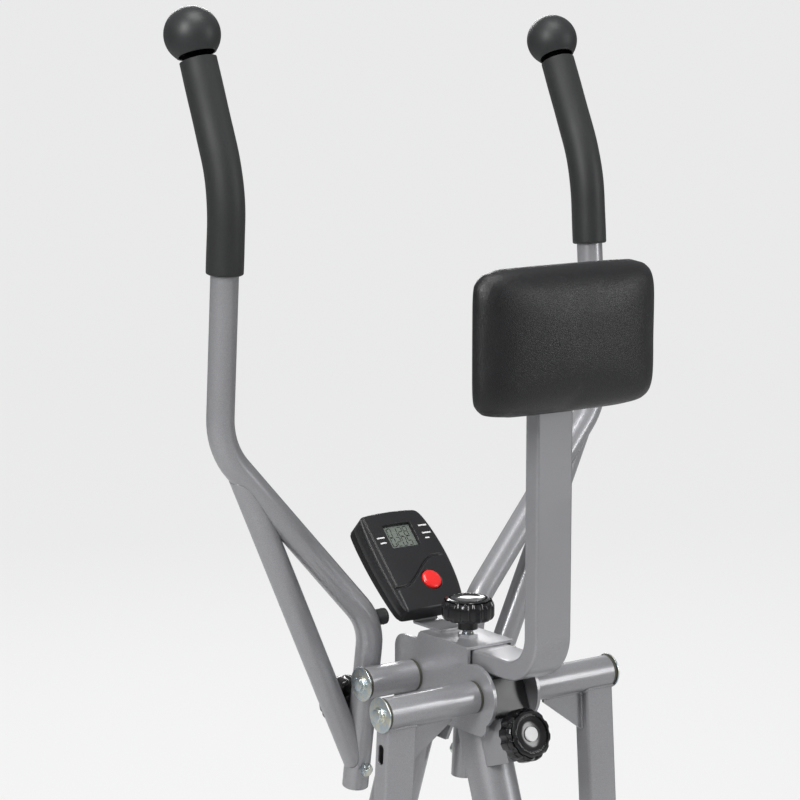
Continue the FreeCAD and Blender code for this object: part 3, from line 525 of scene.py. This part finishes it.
def knobSheet(top, axis, hubHeight):
    # profile turned about the axis; between bottom and top of the skirt, each ray stops where it meets a finger hollow
    k = knobShape
    total = hubHeight + k["height"]
    corners = [(0, 0), (k["hub"], 0), (k["hub"], hubHeight), (k["radius"] - 3, hubHeight),
               (k["radius"], hubHeight + 3.4), (k["radius"], total - 5), (k["radius"] - 5.5, total),
               (k["dish"] + 1, total - 0.2), (k["dish"] - 4, total - k["dishDepth"]), (0, total - k["dishDepth"] - 0.6)]
    line = softLine(corners, [0, 0.5 if hubHeight > 1 else 0, 2.0, 2.2, 5.0, 4.0, 2.0, 2.5], steps=6)
    profile = sampled(line, np.arange(len(line)), np.linspace(0, len(line) - 1, 2 * len(line) - 1))

    def scalloped(radius, height, angle):
        pitch = 2 * np.pi / k["scallops"]
        offset = (angle + pitch / 2) % pitch - pitch / 2
        away = (k["radius"] + k["biteOut"]) * mm
        inside = (k["bite"] * mm) ** 2 - (away * np.sin(offset)) ** 2
        hollow = np.where(inside > 0, away * np.cos(offset) - np.sqrt(np.maximum(inside, 0)), 1.0)
        depth = np.maximum(k["radius"] * mm - hollow, 0)
        skirt = np.clip((radius / mm - k["hub"] - 8) / 6, 0, 1)
        fade = 1 - np.clip((height / mm - total + 6) / 6, 0, 1) ** 2
        return radius - depth * skirt * fade

    start = top - unit(axis) * total * mm
    return turned(profile * mm, start, axis, count=288, shape=scalloped)


def studSheet(base, axis, radius, length):
    # threaded stud: the radius is a triangle wave of the height plus the angle, one tooth a pitch
    pitch = 1.5
    rows = np.arange(0, length + 0.1, 0.25)
    profile = np.concatenate([[[0, 0]], np.stack([np.full_like(rows, radius), rows], -1), [[0, rows[-1]]]]) * mm

    def thread(r, h, angle):
        phase = (h / mm / pitch + angle / (2 * np.pi)) % 1
        return np.where(r > 0, r - 0.55 * mm * np.abs(2 * phase - 1), 0)

    return turned(profile, base, -unit(axis), count=36, shape=thread)


lowerEnd, upperEnd = np.array([65, 153, -132.0]), np.array([69, 131, 55.0])     # a handle tube's lower stretch
boltPlace = 25 / 187            # how far up it the cross bolt goes
lowerRun = unit(upperEnd - lowerEnd)
ahead = unit(np.array([0, 1.0, 0]) - lowerRun * lowerRun[1])                    # forwards, square to the tube
tensionAxis = {side: swung(ahead, way, np.zeros(3)) for side, way in sides.items()}
lean = rest["rearLean"]
# axis, hub height, body, and the stud's radius and length
knobs = {
    "pad_clamp_knob": dict(axis=np.array([0, 0, 1.0]), hub=10.0, body="pad_clamp", stud=6.0, length=11.6),
    "lock_knob": dict(axis=np.array([0, -math.cos(lean), math.sin(lean)]), hub=3.0, body="lock_knob", stud=6.0,
                      length=13.8),
    "tension_knob_left": dict(axis=tensionAxis["left"], hub=10.0, body="tension_knob_left", stud=5.0, length=15.8),
    "tension_knob_right": dict(axis=tensionAxis["right"], hub=10.0, body="tension_knob_right", stud=5.0, length=15.8),
}
for name, spec in knobs.items():
    top = reach(name, spec["axis"])
    piece = putPiece(name + "_head", [(knobSheet(top, spec["axis"], spec["hub"]), True)], spec["body"],
                     finish["knobGloss"], crease=50)
    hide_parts(name)
    base = top - unit(spec["axis"]) * (spec["hub"] + knobShape["height"]) * mm
    piece = putPiece(name + "_stud", [(studSheet(base, spec["axis"], spec["stud"], spec["length"]), True)],
                     spec["body"], finish["zincPlate"], crease=30)
    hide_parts(name)

lockTop = reach("lock_knob", knobs["lock_knob"]["axis"])
capProfile = softLine([(0, -2.2), (7.4, -2.2), (7.4, 0.1), (0, 0.5)], [0, 0.5], steps=5) * mm
putPiece("lockKnobCap", [(turned(capProfile, lockTop, knobs["lock_knob"]["axis"], count=48), True)],
         "lock_knob", finish["markWhite"], crease=40)
print("knobs made")

# console
console = dict(half=38.5, belly=(4.0, 9.0), face=100.0, chin=24.3, chinIn=0.6, split=17.0, depth=29.0, taper=8.0,
               round=3.0, crown=1.3, corner=0.05, window=(-16.0, 20.5, 17.0, 46.5), windowDeep=4.6, panelEdge=4.4,
               grooveDeep=1.9, grooveWide=1.7, waveDown=94.6, waveRise=33.0, waveFrom=-27.0, waveTo=31.0,
               waveSlope=33.0 / 50, buttonX=11.8, buttonDown=90.7, buttonRadius=11.3, arch=2.2, seam=0.5)
tilt = rest["consoleTilt"]
downFace = np.array([0, -math.cos(tilt), -math.sin(tilt)])
intoFace = np.array([0, math.sin(tilt), -math.cos(tilt)])
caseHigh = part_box("console_case")[1]
consoleTop = np.array([0, caseHigh[1] - math.sin(tilt) * console["split"] * mm, caseHigh[2]])


def onConsole(x, down, inside):
    # Sideways, down the face and in from it, in millimetres, to metres in the machine's frame.
    x, down, inside = (np.asarray(v, float)[..., None] for v in (x, down, inside))
    return consoleTop + (x * np.array([1.0, 0, 0]) + down * downFace + inside * intoFace) * mm


def smooth(value, low, high):
    t = np.clip((value - low) / (high - low), 0, 1)
    return t * t * (3 - 2 * t)


def waveLine(x):
    # lazy S from low on the left to high on the right: a smooth step of x
    return console["waveDown"] - console["waveRise"] * smooth(x, console["waveFrom"], console["waveTo"])


def faceDepth(x, down):
    # How far the face lies in from its flat plane: chin, crown, window, groove and button ring added up.
    c = console
    depth = c["chinIn"] * smooth(down, c["face"] - 5, c["face"] + c["chin"]) ** 0.9
    depth = depth + c["crown"] * (x / c["half"]) ** 2
    groove = np.abs(down - waveLine(x)) / np.sqrt(1 + c["waveSlope"] ** 2)
    inPanel = smooth(x, -c["half"] + 1, -c["half"] + 3) * (1 - smooth(x, 36, 43))
    depth = depth + c["grooveDeep"] * (1 - smooth(groove, 0.2, c["grooveWide"])) * inPanel
    x0, x1, d0, d1 = c["window"]
    inset = np.minimum(np.minimum(x - x0, x1 - x), np.minimum(down - d0, d1 - down))
    depth = depth + c["windowDeep"] * smooth(inset, -0.3, 1.2)
    ring = np.hypot(x - c["buttonX"], down - c["buttonDown"])
    depth = depth + 2.0 * (1 - smooth(ring, c["buttonRadius"] + 0.2, c["buttonRadius"] + 1.3))
    step = 0.9 * (1 - smooth(x, -c["half"] + c["panelEdge"], -c["half"] + c["panelEdge"] + 0.9))
    return depth + step


def consoleSheet():
    # parameters u and v run past +-1: inside, they cover the face; beyond, the larger overshoot is the wall's depth
    c = console
    inner = np.concatenate([np.linspace(-1, -0.9, 14, endpoint=False), np.linspace(-0.9, 0.9, 150, endpoint=False),
                            np.linspace(0.9, 1, 15)])
    wall = np.array([1.04, 1.3, 1.6, 1.64, 1.68, 2.0])
    span = np.concatenate([-wall[::-1], inner, wall])
    u, v = np.meshgrid(span, span, indexing="ij")
    uc, vc = np.clip(u, -1, 1), np.clip(v, -1, 1)
    over = np.maximum(np.maximum(np.abs(u) - 1, np.abs(v) - 1), 0)
    pull = 1 - c["corner"] * np.abs(uc) ** 14 * np.abs(vc) ** 14
    total = c["face"] + c["chin"]
    belly = np.where(uc < 0, c["belly"][0], c["belly"][1]) * (1 - vc ** 2)      # the sides bow out as parabolas
    x = uc * (c["half"] + belly) * pull
    arch = c["arch"] * (1 - uc ** 2)
    down = (vc * pull + 1) / 2 * total + np.where(vc < 0, (c["arch"] - arch) * vc ** 2, 0)
    edgeIn = np.minimum((1 - np.abs(uc)) * c["half"], (1 - np.abs(vc)) * total / 2)
    rounding = c["round"] * (1 - np.sqrt(np.maximum(1 - (1 - np.clip(edgeIn / c["round"], 0, 1)) ** 2, 0)))
    rim = np.clip(edgeIn / 1.2, 0, 1)
    face = faceDepth(x, down) * rim + rounding
    chinBack = c["chinIn"] * smooth(down, c["face"] - 5, total) ** 0.9
    base = c["round"] + chinBack
    deep = c["depth"] - c["taper"] * np.clip(down / total, 0, 1)        # thinner towards its foot
    inside = np.where(over > 0, base + (deep - base) * np.clip(over, 0, 1), face + chinBack * (1 - rim))
    seam = np.where((over > 0.61) & (over < 0.67), c["seam"], 0.0)      # where the case meets its back cover
    x = x - np.sign(uc) * seam * (np.abs(uc) > 0.999)
    return onConsole(x, down, np.minimum(inside, deep))


def rimLoop(grid):
    # The grid's outer border as one closed row, with a row of its middle, to shut the back.
    border = np.concatenate([grid[0, :-1], grid[:-1, -1], grid[-1, :0:-1], grid[:0:-1, 0]])
    middle = np.broadcast_to(border.mean(0), border.shape)
    return np.stack([border, middle])


shell = consoleSheet()
piece = putPiece("consoleFace", [(shell, False), (rimLoop(shell), True)], "base",
                 finish["consoleShell"], crease=48)
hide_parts("console_case", "console_back")

# the seven bars of a digit: sideways and upwards in half widths and heights, and whether a bar stands upright
segments = np.array([(0, 1, 0), (-1, 0.5, 1), (1, 0.5, 1), (0, 0, 0), (-1, -0.5, 1), (1, -0.5, 1), (0, -1, 0)], float)
lit = {"0": (0, 1, 2, 4, 5, 6), "1": (2, 5), "2": (0, 2, 3, 4, 6), "5": (0, 1, 3, 5, 6), "8": (0, 1, 2, 3, 4, 5, 6)}


digits = dict(rows=(("0128", 25.6), ("0205", 37.6)), tall=5.6, half=2.4, first=-8.6, pitch=7.0, near=3.85, far=4.05)


def digitSheets():
    # each bar is a six-cornered strip: its half width is the lesser of a constant and the distance from its tip
    tall, half = digits["tall"], digits["half"]
    sheets = []
    along = np.array([-1, -0.78, 0.78, 1.0])
    wide = np.array([0, 0.42, 0.42, 0])
    for text, down in digits["rows"]:
        for place, digit in enumerate(text):
            centre = digits["first"] + place * digits["pitch"]
            for number in lit[digit]:
                sx, sd, upright = segments[number]
                bar = np.stack([along[:, None] * half * 0.86 * np.ones(2), wide[:, None] * np.array([-1, 1.0])], -1)
                if upright:
                    bar = np.stack([bar[..., 1], bar[..., 0] * tall / 2 / half], -1)
                x = centre + sx * half + bar[..., 0] + sd * tall * 0.10
                d = down - sd * tall + bar[..., 1]
                top = onConsole(x, d, digits["near"] + 0 * x)
                low = onConsole(x, d, digits["far"] + 0 * x)
                sheets.append((np.concatenate([top, low[:, ::-1], top[:, :1]], axis=1), False))
    return sheets


def plateSheet(x0, x1, d0, d1, near, far, soft=0.6):
    # rounded plate: a superellipse loop drawn in to a middle point on both faces
    angle = np.linspace(0, 2 * np.pi, 96, endpoint=False)
    rim = superellipse(angle, 10)
    mid, half = np.array([(x0 + x1) / 2, (d0 + d1) / 2]), np.array([(x1 - x0) / 2, (d1 - d0) / 2])
    ring = mid + half * np.stack([rim * np.cos(angle), rim * np.sin(angle)], -1)
    rows = [(0, near), (1 - soft / half.min(), near), (1, near + soft * 0.5), (1, far), (0, far)]
    points = [onConsole(*(mid + (ring - mid) * scale).T, np.full(96, depth)) for scale, depth in rows]
    return np.stack(points)


piece = putPiece("consoleScreen", [(plateSheet(-16.4, 20.9, 16.6, 46.9, 4.0, 5.2, 0.3), True)], "base",
                 finish["lcdGlass"], crease=30)
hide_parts("console_display")
piece = putPiece("consoleDigits", digitSheets(), "base", finish["lcdInk"], crease=30)
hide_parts("console_display")

# sideways, down and length of each printed bar
marks = [(29.0, 23.0, 11.0), (29.4, 32.8, 11.5), (30.0, 39.4, 6.0), (-29.5, 32.0, 9.5), (-28.0, 38.6, 7.5)]


def markSheet(x, down, wide, tall=1.7):
    # thin strip that follows the face: its depth is the face's own less a hair
    u = np.linspace(x, x + wide, 12)[:, None] * np.ones(3)
    d = down + np.linspace(-tall / 2, tall / 2, 3)[None, :] * np.ones((12, 1))
    top = onConsole(u, d, faceDepth(u, d) - 0.12)
    low = onConsole(u, d, faceDepth(u, d) + 0.3)
    return np.concatenate([top, low[:, ::-1], top[:, :1]], axis=1)


putPiece("consoleMarks", [(markSheet(*mark), False) for mark in marks], "base",
         finish["markWhite"], crease=30)

dome = console["buttonRadius"]
buttonLine = softLine([(0, 7.2), (dome, 7.2), (dome, -1.0), (7.5, -2.35), (0, -2.6)], [0, 1.6, 2.5], steps=7) * mm
buttonBase = onConsole(console["buttonX"], console["buttonDown"], 0.0)
piece = putPiece("buttonDome", [(turned(buttonLine, buttonBase, intoFace, count=72), True)], "console_button",
                 finish["buttonRed"], crease=60)
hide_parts("console_button")
print("console made")

# bolts and washers
bolt = dict(flat=13.0, head=4.4, washer=18.0, thick=1.7, bore=4.0, headOff=2.0, rimOff=1.9)
axleEnds = ((footAxle, 145.9), (handleAxle, 95.4))      # each axle's middle, and its washers' distance from that
crossBolt = dict(reach=14.2, head=5.2, nut=6.2, shank=4.0, start=22.0, length=42.6)


def hexSheet(start, axis, flat, tall, dome=0.9):
    # hexagon: radius is apothem / cos(angle within its sixth), held inside a cone that chamfers the top corners
    heights = np.array([0, 0.25, 0.7, 0.86, 0.93, 1.0]) * tall
    wall = np.stack([np.full_like(heights, flat), heights], -1)
    profile = np.concatenate([[[0, 0]], wall, [[flat * 0.38, tall], [0, tall + dome]]]) * mm

    def sided(r, h, angle):
        sixth = (angle + np.pi / 6) % (np.pi / 3) - np.pi / 6
        hexagon = flat / 2 * mm / np.cos(sixth)
        cone = flat * 0.575 * mm - 1.7 * np.maximum(h - tall * 0.80 * mm, 0)
        return np.where(r >= flat * 0.9 * mm, np.minimum(hexagon, cone), r)

    return turned(profile, start, axis, count=72, shape=sided)


def washerSheet(start, axis, radius, thick, bore):
    # slightly dished ring: a rounded rectangle profile turned about the axle
    ring = softLine([(bore, 0), (radius, 0), (radius, thick), (bore + 3, thick + 0.35), (bore, thick + 0.3), (bore, 0)],
                    [0.4, 0.7, 2.0, 0.2], steps=4) * mm
    return turned(ring, start, axis, count=96)


fastenerSheets = []
for axle, end in axleEnds:
    for way in (-1, 1):
        face = np.array([way * end * mm, axle[1], axle[2]])
        out = np.array([way, 0, 0.0])
        fastenerSheets.append((washerSheet(face, out, bolt["washer"], bolt["thick"], bolt["bore"]), True))
        fastenerSheets.append((hexSheet(face + out * bolt["headOff"] * mm, out, bolt["flat"], bolt["head"]), True))
        rim = softLine([(0, 0), (8.6, 0), (8.6, 1.0), (6.4, 1.3), (0, 1.3)], [0.2, 0.3, 0.3], steps=3) * mm
        fastenerSheets.append((turned(rim, face + out * bolt["rimOff"] * mm, out, count=72), True))
piece = putPiece("axleBolts", fastenerSheets, "base", finish["zincPlate"], crease=32)
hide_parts("axle_fasteners")

for side, way in sides.items():
    centre = drawn(lowerEnd + (upperEnd - lowerEnd) * boltPlace)[0]
    front = centre + ahead * crossBolt["reach"] * mm
    rear = centre - ahead * crossBolt["reach"] * mm
    sheets = [hexSheet(front, ahead, bolt["flat"], crossBolt["head"], 0.3),
              hexSheet(rear, -ahead, bolt["flat"], crossBolt["nut"], 0.2)]
    thick, long = crossBolt["shank"], crossBolt["length"]
    shank = softLine([(0, 0), (thick, 0), (thick, long), (0, long)], [0, 0.6], steps=3) * mm
    sheets.append(turned(shank, centre - ahead * crossBolt["start"] * mm, ahead, count=36))
    piece = putPiece("crossBolt_" + side, [(swung(sheet, way, handleAxle), True) for sheet in sheets],
                     "handlebar_" + side, finish["zincPlate"], crease=32)
    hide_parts(f"handlebar_{side}_bolt")
print("bolts made")

# weld beads
weld = dict(ripple=0.28, pitch=2.6)


def beadSheet(path, radius=1.7):
    # bead: a circle carried along the joint, its radius rippled by a rectified sine of the length
    length = lengthsOf(path) / mm
    even = np.linspace(0, length[-1], max(int(length[-1] / 0.55), 8))
    line = sampled(path, length, even)
    ends = np.sqrt(np.clip(np.minimum(even, even[-1] - even) / 1.6, 0.02, 1))
    size = radius * ends * (1 + weld["ripple"] * (np.abs(np.sin(np.pi * even / weld["pitch"])) - 0.6))
    return carried(line, size * mm, up=(0.31, 0.77, 0.56), count=10)


def straight(a, b, count=40):
    return drawn(a) + (drawn(b) - drawn(a)) * np.linspace(0, 1, count)[:, None]


def saddle(radius, reachUp, lean, foot):
    # ring round a leaning post where it meets its foot tube: height along the post is sqrt(R^2 - (r sin)^2)
    angle = np.linspace(0, 2 * np.pi, 181)[:, None]
    up = np.array([0, -math.sin(lean), math.cos(lean)])
    across = np.array([0, math.cos(lean), math.sin(lean)])
    high = np.sqrt(np.maximum(reachUp ** 2 - (radius * np.sin(angle)) ** 2, 0))
    return foot + (high * up + radius * (np.cos(angle) * np.array([1.0, 0, 0]) + np.sin(angle) * across)) * mm


def armRing():
    # the arm's rectangle where it meets the round sleeve: height is the sleeve's circle
    corner = softLine([(108, 0), (108, 10.5), (144, 10.5), (144, -10.5), (108, -10.5), (108, 0)], [2.5] * 4, steps=4)
    x, y = sampled(corner, np.arange(len(corner)), np.linspace(0, len(corner) - 1, 140)).T
    return drawn(*np.stack([x, y, -np.sqrt(16.5 ** 2 - y ** 2) - 0.4], -1))


for side, way in sides.items():
    beads = [beadSheet(armRing())]
    for y in (-1.9, 1.9):
        beads.append(beadSheet(straight((107.6, y, -17), (107.6, y, -56)), 1.5))
        beads.append(beadSheet(straight((60, y, -16.5), (107, y, -16.5)), 1.5))
    for y in (-11, 11):
        beads.append(beadSheet(straight((108.5, y, -744.6), (143.5, y, -744.6)), 1.6))
    piece = putPiece("armWelds_" + side, [(swung(bead, way, footAxle), True) for bead in beads],
                     "foot_arm_" + side, finish["silverPaint"], crease=60)

for body, foot, way, radius in (("base", "front_stabilizer", 1, 25.95), ("rear_frame", "rear_stabilizer", -1, 25.0)):
    bead = beadSheet(saddle(radius, 25.3, way * rest["rearLean"], midOf(foot)), 2.1)
    putPiece("footWeld_" + body, [(bead, True)], body, finish["silverPaint"], crease=60)
print("welds made")

# pedal treads
tread = dict(inner=159.0, outer=283.0, back=-132.0, front=182.0, floor=-734.8, deep=1.2, rib=2.2, pitch=11.0)


def treadSheet():
    # mat: base height plus rounded ribs, a power of the cosine of the length, stopped short of a plain border
    t = tread
    x = np.linspace(t["inner"], t["outer"], 40)[:, None]
    y = np.linspace(t["back"], t["front"], 400)[None, :]
    border = np.minimum(np.minimum(x - t["inner"], t["outer"] - x), np.minimum(y - t["back"], t["front"] - y))
    bars = np.abs(np.cos(np.pi * (y + 0.12 * x) / t["pitch"])) ** 4
    ribs = t["rib"] * bars * smooth(border, 5, 8)
    top = t["floor"] + t["deep"] + ribs - 0.8 * (1 - smooth(border, 0, 1.2))
    x, y = np.broadcast_arrays(x, y)
    upper = drawn(*np.stack([x, y, top], -1).reshape(-1, 3)).reshape(*x.shape, 3)
    lower = drawn(*np.stack([x, y, np.full_like(top, t["floor"])], -1).reshape(-1, 3)).reshape(*x.shape, 3)
    upper = np.concatenate([lower[:1], upper, lower[-1:]])
    side = np.stack([np.concatenate([lower[:1, 0], lower[:, 0], lower[-1:, 0]]), upper[:, 0]], 1)
    other = np.stack([upper[:, -1], np.concatenate([lower[:1, -1], lower[:, -1], lower[-1:, -1]])], 1)
    return [(upper, False), (side, False), (other, False), (lower[[0, -1]], False)]


for side, way in sides.items():
    sheets = [(swung(sheet, way, footAxle), wrap) for sheet, wrap in treadSheet()]
    putPiece("pedalTread_" + side, sheets, "foot_arm_" + side, finish["pedalPlastic"], crease=40)
print("treads made")

# room, light and camera
room = dict(flat=8.0, wall=13.0, top=5.0, tone=(0.62, 0.62, 0.62), glow=0.97, lift=0.8)


def roomSheet():
    # floor disc that curls up into a wall: radius and height follow a quarter circle past the flat part
    along = np.concatenate([np.linspace(0, room["flat"], 12), [room["flat"]] * 24])
    bend = np.concatenate([np.zeros(12), np.linspace(0, np.pi / 2, 24)])
    radius = along + (room["wall"] - room["flat"]) * np.sin(bend)
    height = room["top"] * (1 - np.cos(bend))
    return turned(np.stack([radius, height], -1), (0, 0, 0), (0, 0, 1), count=96)


roomTone = bpy.data.materials.new("roomPaint")
roomTone.use_nodes = True
roomTree = roomTone.node_tree
roomNoise = node(roomTree, "TexNoise", vector=node(roomTree, "TexCoord").outputs["Object"], scale=3.0, detail=3.0)
roomRange = node(roomTree, "MapRange", value=roomNoise.outputs[0], toMin=0.78, toMax=0.86)
roomTree.links.new(roomRange.outputs[0], roomTree.nodes["Principled BSDF"].inputs["Roughness"])
roomTree.nodes["Principled BSDF"].inputs["Base Color"].default_value = (*room["tone"], 1)
seen = node(roomTree, "LightPath").outputs["Is Camera Ray"]
glow = node(roomTree, "Emission", color=(1, 1, 1, 1), strength=room["glow"])
lift = node(roomTree, "MixShader", s0=sums(roomTree, "MULTIPLY", seen, room["lift"]),
            s1=roomTree.nodes["Principled BSDF"].outputs[0], s2=glow.outputs[0])
roomTree.links.new(lift.outputs[0], roomTree.nodes["Material Output"].inputs[0])
roomGrid = roomSheet()
roomMesh = bpy.data.meshes.new("studioFloor")
rows, columns = roomGrid.shape[:2]
i, j = np.meshgrid(np.arange(rows - 1), np.arange(columns), indexing="ij")
k = (j + 1) % columns
roomMesh.from_pydata(roomGrid.reshape(-1, 3).tolist(), [], np.stack(
    [i * columns + j, (i + 1) * columns + j, (i + 1) * columns + k, i * columns + k], -1).reshape(-1, 4).tolist())
roomMesh.shade_smooth()
roomMesh.materials.append(roomTone)
studioFloor = bpy.data.objects.new("studioFloor", roomMesh)
bpy.context.scene.collection.objects.link(studioFloor)

world = bpy.data.worlds.new("skyWhite")
bpy.context.scene.world = world
world.use_nodes = True
world.node_tree.nodes["Background"].inputs["Color"].default_value = (0.97, 0.98, 1, 1)
world.node_tree.nodes["Background"].inputs["Strength"].default_value = 0.34

# place, aim, width, height, power of each soft box
lamps = dict(
    keyLeft=((-2.9, -1.2, 3.0), (0, 0, 1.0), 0.9, 1.8, 95),
    fillRight=((2.6, -3.2, 2.0), (0, 0, 0.9), 0.7, 2.2, 40),
    rimBack=((1.6, 3.2, 2.6), (0, 0, 1.1), 1.8, 0.8, 55),
    overhead=((-0.2, -0.6, 4.2), (0, 0, 0.8), 1.6, 1.6, 55),
)
for name, (place, aim, wide, tall, power) in lamps.items():
    light = bpy.data.lights.new(name, "AREA")
    light.shape, light.size, light.size_y, light.energy = "RECTANGLE", wide, tall, power
    lamp = bpy.data.objects.new(name, light)
    back = unit(np.array(place) - np.array(aim))
    right = unit(np.cross((0, 0, 1), back))
    over = np.cross(back, right)
    lamp.matrix_world = mathutils.Matrix(np.column_stack([right, over, back]).tolist()).to_4x4()
    lamp.location = place
    bpy.context.scene.collection.objects.link(lamp)

view = dict(yaw=35.58, pitch=9.20, lens=116.68, place=(-1.5755, -2.1139, 1.5703))
eye = bpy.data.cameras.new("eye")
eye.lens, eye.sensor_width, eye.clip_end = view["lens"], 36, 200
camera = bpy.data.objects.new("eye", eye)
camera.location = view["place"]
camera.rotation_euler = (math.radians(90 - view["pitch"]), 0, -math.radians(view["yaw"]))
bpy.context.scene.collection.objects.link(camera)
bpy.context.scene.camera = camera
bpy.context.scene.view_settings.view_transform = "Standard"
print("room, lights and camera made")
